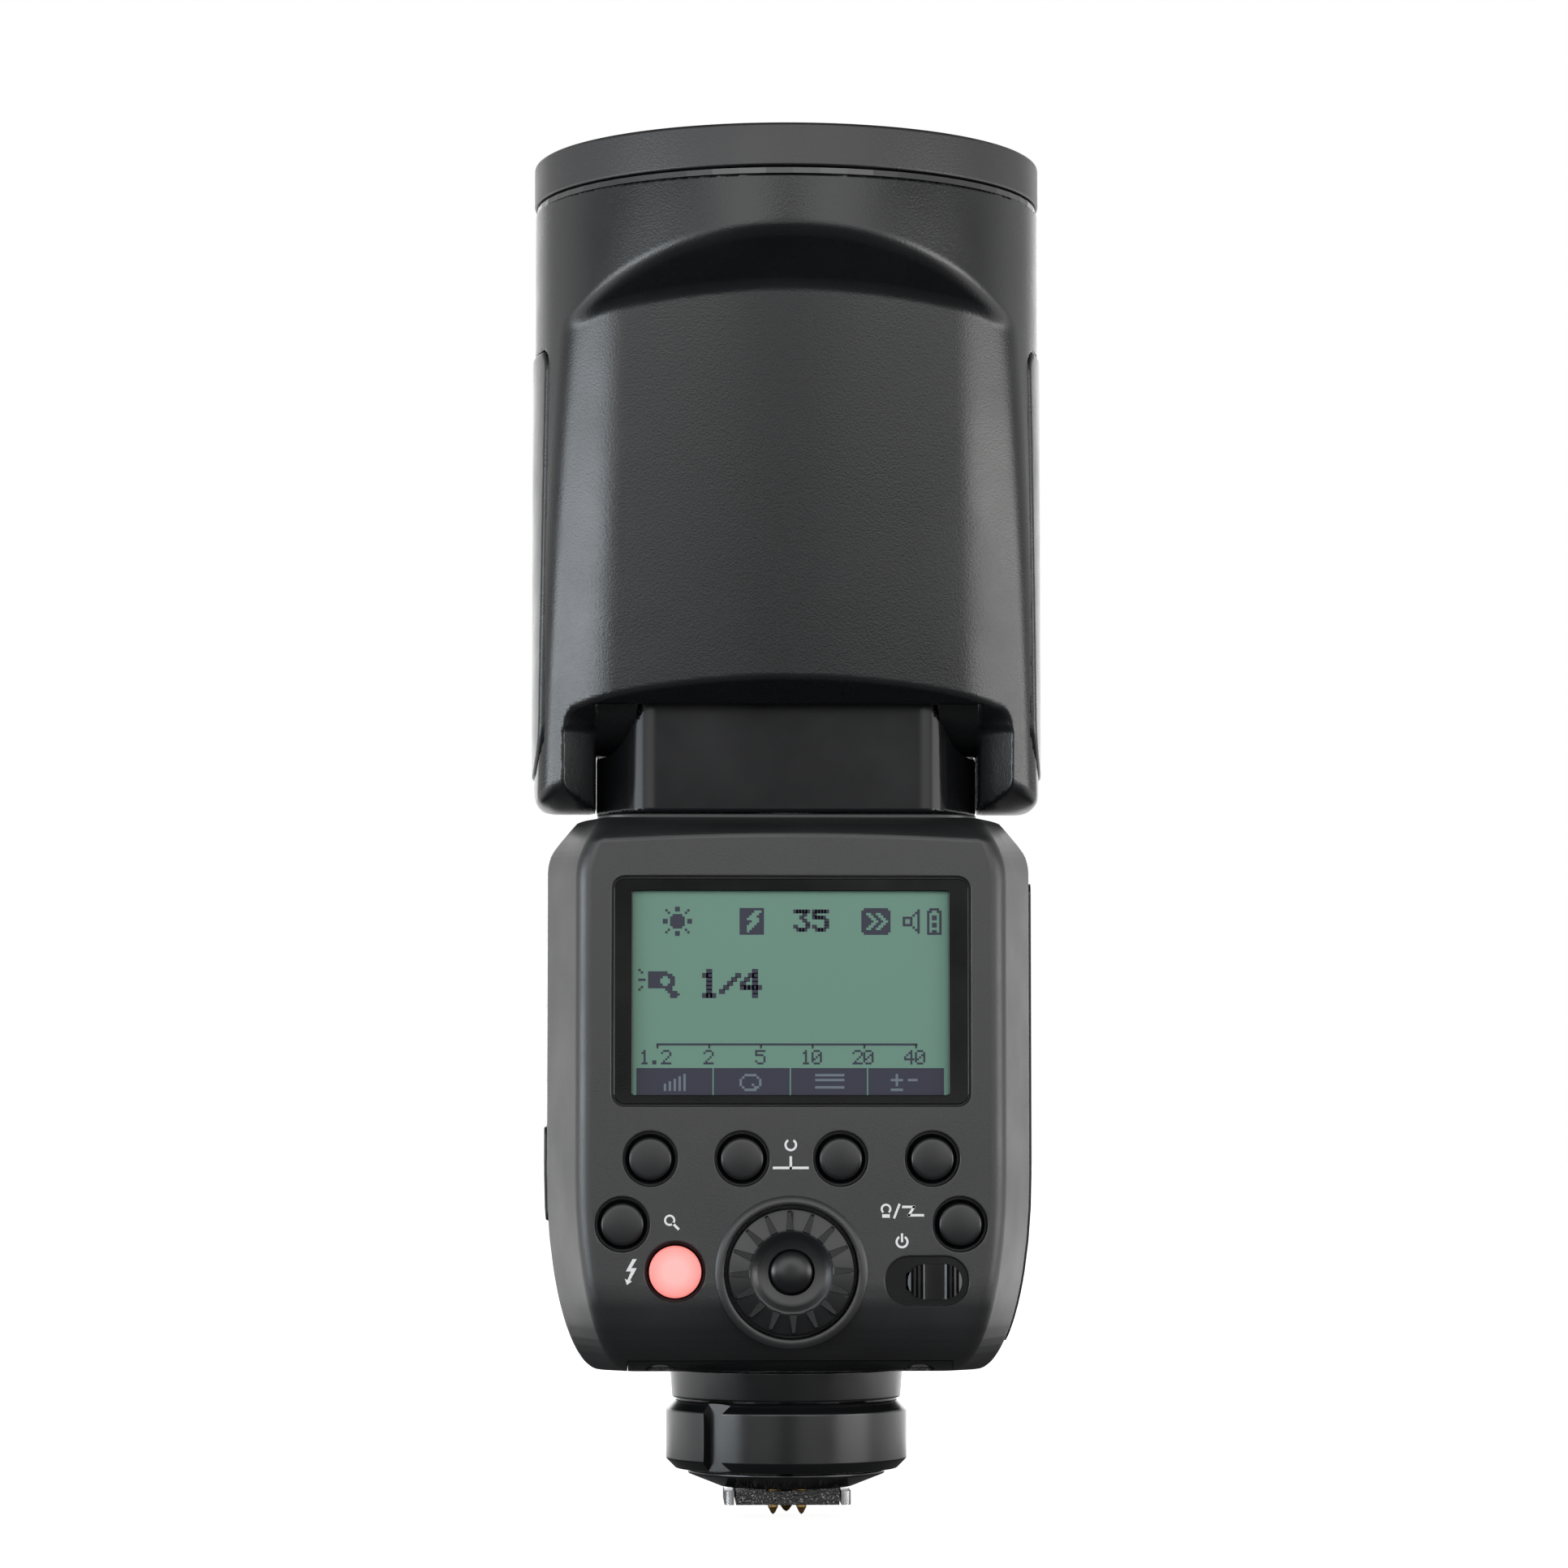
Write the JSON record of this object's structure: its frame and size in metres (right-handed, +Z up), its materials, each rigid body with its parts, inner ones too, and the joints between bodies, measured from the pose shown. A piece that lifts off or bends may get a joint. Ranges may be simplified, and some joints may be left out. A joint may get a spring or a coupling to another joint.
{
  "type": "speedlight flash",
  "caption": "Round-head speedlight flash with a tilting and swivelling zoom head, rear display with keys and dial, side battery pack and a locking hot-shoe foot.",
  "frame": {"origin": "middle of the shoe foot's underside", "axes": "+Z up along the head when it is upright, -Y out of the control panel, +X to the battery side"},
  "size_m": [0.0764, 0.076, 0.2015],
  "materials": {
    "shell": "fine satin texture",
    "panel": "satin",
    "gloss": "smooth",
    "rubber": "matte",
    "insert": "matte",
    "chrome": "polished",
    "steel": "machined",
    "brass": "plated",
    "display": "lit display",
    "red": "translucent",
    "dark_red": "polished",
    "clear": "clear",
    "board": "lacquered",
    "white": "smooth"
  },
  "bodies": {
    "body": {"body_shell": "shell", "rear_cover": "panel", "display_window": "gloss", "display_panel": "display", "control_board": "board", "power_board": "board", "main_capacitor": "gloss", "battery_bay": "shell", "battery_terminals": "brass", "base_plate": "shell", "base_screw_left": "steel", "base_screw_right": "steel", "shoe_neck": "gloss", "shoe_base": "shell", "foot_plate": "chrome", "foot_insert": "insert", "sensor_window": "dark_red", "port_block": "gloss", "swivel_bush": "white"},
    "turntable": {"turntable_plate": "shell", "swivel_shaft": "steel", "swivel_nut": "steel", "pivot_block": "shell", "tilt_pin_left": "steel", "tilt_pin_right": "steel"},
    "head": {"head_rear_shell": "shell", "head_front_shell": "shell", "side_trim_left": "shell", "side_trim_right": "shell", "bezel_ring": "shell", "gasket_strip": "gloss", "front_lens": "clear", "zoom_motor": "steel", "guide_rod": "steel"},
    "zoom": {"zoom_carriage": "gloss", "reflector": "chrome", "flash_tube": "clear", "modelling_lamp": "white"},
    "lead_screw": {"lead_screw": "brass"},
    "soft_key_1": {"soft_key_1": "gloss"},
    "soft_key_2": {"soft_key_2": "gloss"},
    "soft_key_3": {"soft_key_3": "gloss"},
    "soft_key_4": {"soft_key_4": "gloss"},
    "function_key": {"function_key": "gloss"},
    "lamp_key": {"lamp_key": "gloss"},
    "test_key": {"test_key": "red"},
    "set_key": {"set_key": "gloss"},
    "contact_centre": {"contact_centre": "brass"},
    "contact_left_1": {"contact_left_1": "brass"},
    "contact_right_1": {"contact_right_1": "brass"},
    "contact_left_2": {"contact_left_2": "brass"},
    "contact_right_2": {"contact_right_2": "brass"},
    "control_dial": {"control_dial": "gloss"},
    "power_slider": {"power_slider": "gloss"},
    "lock_ring": {"lock_ring": "gloss"},
    "lock_pin": {"lock_pin": "steel"},
    "port_cover": {"port_cover": "rubber"},
    "battery_pack": {"battery_pack": "shell"},
    "battery_latch": {"battery_latch": "gloss"}
  },
  "joints": [
    {"name": "swivel", "type": "hinge", "parent": "body", "child": "turntable", "pos_m": [0, 0, 0.1006], "axis": [0, 0, 1], "range_deg": [-180, 150]},
    {"name": "tilt", "type": "hinge", "parent": "turntable", "child": "head", "pos_m": [0, 0, 0.121], "axis": [-1, 0, 0], "range_deg": [-30, 90]},
    {"name": "zoom_slide", "type": "slide", "parent": "head", "child": "zoom", "axis": [0, 0, 1], "range_m": [-0.012, 0]},
    {"name": "lead_screw_turn", "type": "hinge", "parent": "head", "child": "lead_screw", "pos_m": [-0.027, 0, 0.16], "axis": [0, 0, 1], "continuous": true},
    {"name": "dial_turn", "type": "hinge", "parent": "body", "child": "control_dial", "pos_m": [0, -0.0285, 0.03465], "axis": [0, -1, 0], "continuous": true},
    {"name": "power_slide", "type": "slide", "parent": "body", "child": "power_slider", "axis": [-1, 0, 0], "range_m": [0, 0.0022]},
    {"name": "lock_ring_turn", "type": "hinge", "parent": "body", "child": "lock_ring", "pos_m": [0, 0, 0.01], "axis": [0, 0, 1], "range_deg": [0, 60]},
    {"name": "lock_pin_drop", "type": "slide", "parent": "body", "child": "lock_pin", "axis": [0, 0, 1], "range_m": [-0.0019, 0.0001]},
    {"name": "port_cover_hinge", "type": "hinge", "parent": "body", "child": "port_cover", "pos_m": [-0.03625, 0.004, 0.0486], "axis": [0, 0, -1], "range_deg": [0, 100]},
    {"name": "battery_slide", "type": "slide", "parent": "body", "child": "battery_pack", "axis": [1, 0, 0], "range_m": [0, 0.045]},
    {"name": "battery_latch_press", "type": "slide", "parent": "battery_pack", "child": "battery_latch", "axis": [-1, 0, 0], "range_m": [0, 0.001], "stiffness_N_per_m": 500, "springref_m": -0.0004},
    {"name": "soft_key_1_press", "type": "slide", "parent": "body", "child": "soft_key_1", "axis": [0, 1, 0], "range_m": [0, 0.0006], "stiffness_N_per_m": 400, "springref_m": -0.0004},
    {"name": "soft_key_2_press", "type": "slide", "parent": "body", "child": "soft_key_2", "axis": [0, 1, 0], "range_m": [0, 0.0006], "stiffness_N_per_m": 400, "springref_m": -0.0004},
    {"name": "soft_key_3_press", "type": "slide", "parent": "body", "child": "soft_key_3", "axis": [0, 1, 0], "range_m": [0, 0.0006], "stiffness_N_per_m": 400, "springref_m": -0.0004},
    {"name": "soft_key_4_press", "type": "slide", "parent": "body", "child": "soft_key_4", "axis": [0, 1, 0], "range_m": [0, 0.0006], "stiffness_N_per_m": 400, "springref_m": -0.0004},
    {"name": "function_key_press", "type": "slide", "parent": "body", "child": "function_key", "axis": [0, 1, 0], "range_m": [0, 0.0006], "stiffness_N_per_m": 400, "springref_m": -0.0004},
    {"name": "lamp_key_press", "type": "slide", "parent": "body", "child": "lamp_key", "axis": [0, 1, 0], "range_m": [0, 0.0006], "stiffness_N_per_m": 400, "springref_m": -0.0004},
    {"name": "test_key_press", "type": "slide", "parent": "body", "child": "test_key", "axis": [0, 1, 0], "range_m": [0, 0.0006], "stiffness_N_per_m": 400, "springref_m": -0.0004},
    {"name": "set_key_press", "type": "slide", "parent": "body", "child": "set_key", "axis": [0, 1, 0], "range_m": [0, 0.0006], "stiffness_N_per_m": 400, "springref_m": -0.0004},
    {"name": "contact_centre_press", "type": "slide", "parent": "body", "child": "contact_centre", "axis": [0, 0, 1], "range_m": [0, 0.0008], "stiffness_N_per_m": 400, "springref_m": -0.0004},
    {"name": "contact_left_1_press", "type": "slide", "parent": "body", "child": "contact_left_1", "axis": [0, 0, 1], "range_m": [0, 0.0008], "stiffness_N_per_m": 400, "springref_m": -0.0004},
    {"name": "contact_right_1_press", "type": "slide", "parent": "body", "child": "contact_right_1", "axis": [0, 0, 1], "range_m": [0, 0.0008], "stiffness_N_per_m": 400, "springref_m": -0.0004},
    {"name": "contact_left_2_press", "type": "slide", "parent": "body", "child": "contact_left_2", "axis": [0, 0, 1], "range_m": [0, 0.0008], "stiffness_N_per_m": 400, "springref_m": -0.0004},
    {"name": "contact_right_2_press", "type": "slide", "parent": "body", "child": "contact_right_2", "axis": [0, 0, 1], "range_m": [0, 0.0008], "stiffness_N_per_m": 400, "springref_m": -0.0004}
  ],
  "couplings": [
    {"joint": "lead_screw_turn", "follows": "zoom_slide", "rad_per_m": 1047.2},
    {"joint": "lock_pin_drop", "follows": "lock_ring_turn", "m_per_rad": -0.001528}
  ]
}
